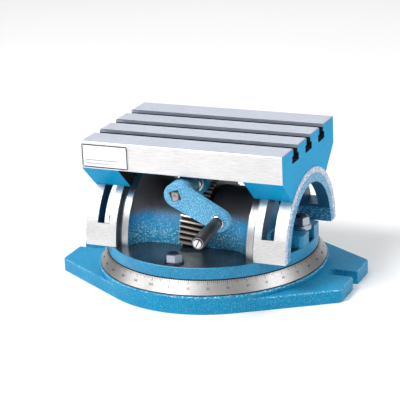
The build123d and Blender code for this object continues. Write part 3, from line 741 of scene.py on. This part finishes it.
# %% [markdown]
# ## The worm gear
#
# The sector let into the drum is cut steel. The worm wipes the tips of its teeth clean and pushes
# the oil into the gaps, where it darkens. The teeth are in the model, so the look only has to go
# from dark to bright with the distance from the gear's axis, which is the tilt axis.

# %% Worm gear
OIL_R = 66.5 * MM                   # all oil up to this radius
TIP_R = 69.6 * MM                   # all bright from this one


def gear_material():
    """Cut steel whose gaps hold dark oil: darker towards the root of the teeth."""
    material, tree, shader = new_material("cut and oiled gear steel")
    at = place(tree)
    tip = add_node(tree, "MapRange", {
        "Value": at["radius"], "From Min": OIL_R, "From Max": TIP_R})
    oily = dark_look(tree, at["coords"], "#1A1614", "#3A302A", metal=0.6)
    bright = ground_look(tree, at["coords"], (0.1, 1, 1), "#BDB3A8", "#E8E2DA")
    feed(tree, shader, mix_looks(tree, tip.outputs["Result"], oily, bright), bump_mm=0.04)
    return material


put_on(gear_material(), "worm_gear_sector")

# %% [markdown]
# ## Plastic, enamel filling and printing
#
# The grip is moulded in black phenolic, a hard plastic with a soft gloss and a faint mottle. The
# plate is thin aluminium printed white, and the degree marks are filled with black enamel. All
# are plain materials, so each gets only a slight change of tone and a very fine texture, which
# is still livelier than one flat colour.

# %% Plain materials
def plain_material(name, low, high, rough):
    """A non-metal that is the same all over, but for a faint mottle."""
    material, tree, shader = new_material(name)
    coords = add_node(tree, "TexCoord").outputs["Object"]
    feed(tree, shader, dark_look(tree, coords, low, high, metal=0.0, rough=rough), bump_mm=0.05)
    return material


phenolic = plain_material("moulded black phenolic", "#1C1A1C", "#343135", 0.3)
filling = plain_material("engraving filled with black enamel", "#1C1B1C", "#2C2A2A", 0.6)
black_ink = plain_material("black printing ink", "#101114", "#1C1E22", 0.5)
grey_ink = plain_material("grey printing ink", "#8C9098", "#A6AAB2", 0.5)
put_on(plain_material("printed white aluminium", "#ECECEE", "#F8F8FA", 0.35), "name_plate")

# %% [markdown]
# ## Making pieces
#
# Small details that CAD leaves out are built here as meshes. Each starts as a bmesh, a mesh that
# code can build face by face. One function turns it into an object, shades its curved faces
# smooth but keeps its corners sharp, and lets it ride on the body it is fixed to.

# %% Piece helpers
SHARP = math.radians(35)            # faces that meet at more than this keep a sharp edge


def finish_piece(name, form, material, body):
    """Make an object from a bmesh and let it ride on a body."""
    bmesh.ops.recalc_face_normals(form, faces=form.faces)
    for face in form.faces:
        face.smooth = True
    for edge in form.edges:
        edge.smooth = len(edge.link_faces) == 2 and edge.calc_face_angle() < SHARP
    mesh = bpy.data.meshes.new(name)
    form.to_mesh(mesh)
    form.free()
    mesh.materials.append(material)
    piece = bpy.data.objects.new(name, mesh)
    scene.collection.objects.link(piece)
    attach(piece, body)
    print(name, "has", len(mesh.polygons), "faces and rides on", body)
    return piece


def join_rings(form, rings):
    """Add faces between neighbouring rings of points, and from the last ring to the first."""
    for first, second in zip(rings, rings[1:] + rings[:1]):
        for k in range(len(first)):
            form.faces.new((first[k - 1], first[k], second[k], second[k - 1]))


def add_block(form, corners):
    """Add a six-sided block from eight corners: four around the back, then four in front."""
    verts = [form.verts.new(corner) for corner in corners]
    for quad in ((0, 1, 2, 3), (4, 5, 6, 7), (0, 1, 5, 4), (1, 2, 6, 5), (2, 3, 7, 6), (3, 0, 4, 7)):
        form.faces.new([verts[i] for i in quad])


# %% [markdown]
# ## Turning a shape
#
# A turned part is the same all the way round, so its shape is one outline of distances along the
# axis and radii. A Screw modifier can sweep an outline too. A short function is used here,
# because it sweeps round any axis and leaves a closed mesh at once.

# %% Lathe helper
def turned(outline, foot, axis, steps=72):
    """A bmesh of an outline in millimetres, closed on itself and swept round an axis."""
    form = bmesh.new()
    turn = axis.to_track_quat("Z", "Y")
    rings = []
    for along, radius in outline:
        ring = []
        for step in range(steps):
            angle = 2 * math.pi * step / steps
            point = Vector((radius * math.cos(angle), radius * math.sin(angle), along)) * MM
            ring.append(form.verts.new(foot + turn @ point))
        rings.append(ring)
    join_rings(form, rings)
    return form


# %% [markdown]
# ## The crank's grip
#
# The real grip is turned from a moulded rod: a bead next to the ferrule, a slow taper, and a
# recess in its outer end that holds a steel ring round the screw. The CAD grip is a plain rod,
# so a turned one takes its place. It is swept round the axis that the grip spins on, which the
# CAD joint gives, so it sits exactly where the plain one was.

# %% Grip
spin = next(joint for joint in frame["joints"] if joint["name"] == "grip_spin")
grip_axis = -Vector(spin["axis"])
GRIP_FROM = 4.5 * MM                # behind this is the spot face and the ferrule
grip_foot = Vector(spin["pos_m"]) + grip_axis * GRIP_FROM
GRIP_OUTLINE = [                    # distance from the grip's foot and radius, in millimetres
    (0, 4.2), (0, 6.2), (0.3, 6.7), (1.0, 7.0), (2.2, 7.0), (2.7, 6.6), (3.2, 6.6), (3.8, 7.0),
    (25, 7.35), (45, 7.68), (61.7, 7.95), (62.4, 7.8), (62.9, 7.3), (62.9, 6.9), (62.0, 6.7),
    (62.0, 4.2),
]
END_RING_OUTLINE = [
    (62.05, 5.5), (62.7, 5.5), (62.8, 5.7), (62.8, 6.4), (62.7, 6.6), (62.05, 6.6),
]

turned_grip = finish_piece("turned_grip", turned(GRIP_OUTLINE, grip_foot, grip_axis), phenolic,
                           "grip")
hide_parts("grip")
ring_steel = metal_material("dull turned steel", "#8E9196", "#B9BCC1", 0.35)
finish_piece("grip_end_ring", turned(END_RING_OUTLINE, grip_foot, grip_axis), ring_steel,
             "grip")

# %% [markdown]
# ## Degree marks
#
# The ring under the swivel is divided into 360 degrees, with a longer line every five and the
# longest every ten. On the real ring they are rolled in and filled with black. A mark can't be
# cut into the CAD ring here, so each is a thin block let into its sloping face, standing a
# twentieth of a millimetre proud.

# %% Degree marks
RING_TOP = Vector((129.4, 38)) * MM     # radius and height of the sloping face's top edge
RING_FOOT = Vector((139, 23)) * MM
ring_slope = (RING_FOOT - RING_TOP).normalized()
ring_out = Vector((-ring_slope.y, ring_slope.x))
PROUD = 0.05 * MM
LET_IN = -0.25 * MM
MARK_START = 0.3 * MM               # down from the ring's top edge
MARK_KINDS = (                      # every so many degrees, its end down the slope, half width
    (10, 5.5 * MM, 0.26 * MM),
    (5, 4.2 * MM, 0.26 * MM),
    (1, 2.8 * MM, 0.2 * MM),
)


def on_ring(turn, down, out):
    """Point on the ring's slope: radians round from the front, then metres down and outward."""
    radius, height = RING_TOP + ring_slope * down + ring_out * out
    return Vector((radius * math.sin(turn), -radius * math.cos(turn), height))


marks = bmesh.new()
for degree in range(360):
    end, half_width = next(kind[1:] for kind in MARK_KINDS if degree % kind[0] == 0)
    turn = math.radians(degree)
    half = half_width / RING_TOP.x
    add_block(marks, [
        on_ring(turn + side * half, down, out)
        for out in (LET_IN, PROUD)
        for side, down in ((-1, MARK_START), (1, MARK_START), (1, end), (-1, end))
    ])
finish_piece("degree_marks", marks, filling, "base")

# %% [markdown]
# ## Degree numbers
#
# The numbers start as flat text, which Blender turns into a thin solid. Each corner of that solid
# is then moved onto the ring: its distance along the text becomes an angle round the ring, and
# its height becomes a distance down the slope. Drawing each digit from blocks would also do, but
# it is more work and looks stiffer.

# %% Degree numbers
NUMBER_HIGH = 3 * MM
FONT_SIZE = NUMBER_HIGH * 1.35          # a digit fills about three quarters of the font's size
NUMBER_DOWN = 11 * MM                   # from the ring's top edge to the foot of a number
MERGE = 0.001 * MM

numbers = bmesh.new()
for degree in range(0, 360, 10):
    text = bpy.data.curves.new("number", "FONT")
    text.body = str(degree)
    text.size = FONT_SIZE
    text.align_x = "CENTER"
    text.extrude = (PROUD - LET_IN) / 2
    text.resolution_u = 2
    text_object = bpy.data.objects.new("number", text)
    solid = bpy.data.meshes.new_from_object(text_object)
    for vertex in solid.vertices:
        turn = math.radians(degree) + vertex.co.x / RING_FOOT.x
        out = vertex.co.z + (PROUD + LET_IN) / 2
        vertex.co = on_ring(turn, NUMBER_DOWN - vertex.co.y, out)
    numbers.from_mesh(solid)
    bpy.data.objects.remove(text_object)
    bpy.data.curves.remove(text)
    bpy.data.meshes.remove(solid)
bmesh.ops.remove_doubles(numbers, verts=numbers.verts, dist=MERGE)
finish_piece("degree_numbers", numbers, filling, "base")

# %% [markdown]
# ## The plate's frame
#
# The plate on the table's front is printed with a black frame. It could be a pattern in the
# plate's material, but a frame of real thickness keeps its edge crisp at any distance. A frame
# with rounded corners is two outlines joined by faces, which makes a solid, not a loose sheet.

# %% Plate frame
plate_low, plate_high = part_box("name_plate")
plate_mid = (plate_low + plate_high) / 2
plate_half = (plate_high - plate_low) / 2
PRINT_BACK = plate_low.y + 0.1 * MM
PRINT_FRONT = plate_low.y - 0.08 * MM
FRAME_OUTSIDE = (0.3 * MM, 1.5 * MM)    # inset from the plate's edge, and corner radius
FRAME_INSIDE = (1.6 * MM, 0.8 * MM)


def plate_outline(inset, corner, steps=6):
    """Points round the plate, some way in from its edge, with rounded corners."""
    half_long = plate_half.x - inset
    half_high = plate_half.z - inset
    points = []
    for index, (side, up) in enumerate(((1, 1), (-1, 1), (-1, -1), (1, -1))):
        for step in range(steps + 1):
            angle = math.pi / 2 * (index + step / steps)
            points.append((plate_mid.x + side * (half_long - corner) + corner * math.cos(angle),
                           plate_mid.z + up * (half_high - corner) + corner * math.sin(angle)))
    return points


frame_form = bmesh.new()
outside = plate_outline(*FRAME_OUTSIDE)
inside = plate_outline(*FRAME_INSIDE)
join_rings(frame_form, [
    [frame_form.verts.new((x, y, z)) for x, z in outline]
    for outline, y in ((outside, PRINT_BACK), (outside, PRINT_FRONT), (inside, PRINT_FRONT),
                       (inside, PRINT_BACK))
])
finish_piece("plate_frame", frame_form, black_ink, "table")

# %% [markdown]
# ## The plate's rules
#
# Below the frame's middle are two grey rules, the blank lines that a maker fills in with a type
# or a number. Each is one thin block, standing as proud as the frame.

# %% Plate rules
RULES = ((5.0 * MM, 42.0 * MM), (9.0 * MM, 30.0 * MM))  # down from the middle, and length
RULE_HALF = 0.4 * MM
rule_left = plate_low.x + 5 * MM    # both rules start here

rules_form = bmesh.new()
for down, length in RULES:
    low = plate_mid.z - down - RULE_HALF
    high = plate_mid.z - down + RULE_HALF
    right = rule_left + length
    add_block(rules_form, [
        (x, y, z)
        for y in (PRINT_BACK, PRINT_FRONT)
        for x, z in ((rule_left, low), (right, low), (right, high), (rule_left, high))
    ])
finish_piece("plate_rules", rules_form, grey_ink, "table")

# %% [markdown]
# ## Floor
#
# The table stands on a plain white floor. A single large face is enough, because nothing shows
# below it. It is staging, not part of the object, and is marked so that the box leaves it out.

# %% Floor
FLOOR_HALF = 8                      # metres, so that its edge stays far away

floor_mesh = bpy.data.meshes.new("studio_floor")
corners = [(x * FLOOR_HALF, y * FLOOR_HALF, 0) for x, y in ((-1, -1), (1, -1), (1, 1), (-1, 1))]
floor_mesh.from_pydata(corners, [], [(0, 1, 2, 3)])
floor = bpy.data.objects.new("studio_floor", floor_mesh)
scene.collection.objects.link(floor)
floor_material, _, floor_shader = new_material("white studio floor")
floor_shader.inputs["Base Color"].default_value = linear("#FAFAFA")
floor_shader.inputs["Roughness"].default_value = 0.9
floor_mesh.materials.append(floor_material)
floor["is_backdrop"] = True
print("floor", 2 * FLOOR_HALF, "m square")

# %% [markdown]
# ## Light
#
# The light is soft studio light. A large lamp above the left front is the main one, another from
# the right fills the shadows, and a pale world lights the ground metal from all round, because
# metal shows whatever surrounds it. Area lamps are used, since their size is what softens a
# shadow's edge.

# %% Lamps and world
LIT_POINT = Vector((0, 0, 0.08))    # all lamps point here, the middle of the table
LAMPS = {                           # where it hangs and its width in metres, and its watts
    "key lamp": ((-0.8, -1.25, 2.1), 0.8, 52),
    "top lamp": ((0.2, 0.3, 2.4), 1.8, 6),
    "right lamp": ((2.3, -0.1, 1.0), 1.0, 15),
    "left lamp": ((-2.1, -1.0, 1.1), 0.8, 7),
    "back lamp": ((-0.7, 2.4, 2.6), 2.4, 28),
}

for name, (location, width, power) in LAMPS.items():
    light = bpy.data.lights.new(name, "AREA")
    light.shape = "SQUARE"
    light.size = width
    light.energy = power
    lamp = bpy.data.objects.new(name, light)
    scene.collection.objects.link(lamp)
    lamp.location = location
    lamp.rotation_euler = (LIT_POINT - lamp.location).to_track_quat("-Z", "Y").to_euler()

world = bpy.data.worlds.new("studio")
world.use_nodes = True
sky = world.node_tree
direction = add_node(sky, "SeparateXYZ", {0: add_node(sky, "TexCoord").outputs["Generated"]})
glow = add_node(sky, "MapRange", {
    "Value": direction.outputs["Z"], "From Max": 0.8, "To Min": 0.05, "To Max": 0.45})
sky.links.new(glow.outputs["Result"], sky.nodes["Background"].inputs["Strength"])
sky.nodes["Background"].inputs["Color"].default_value = (1, 1, 1, 1)
scene.world = world
print("lamps", [light.name for light in bpy.data.lights])

# %% [markdown]
# ## Sizes and finish
#
# The finished model has to stay inside the CAD model's box. The last line measures the box round
# every visible piece and prints its size.

# %% Sizes and finish
low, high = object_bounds()
print("visual box", [round(v / MM, 1) for v in high - low], "mm")
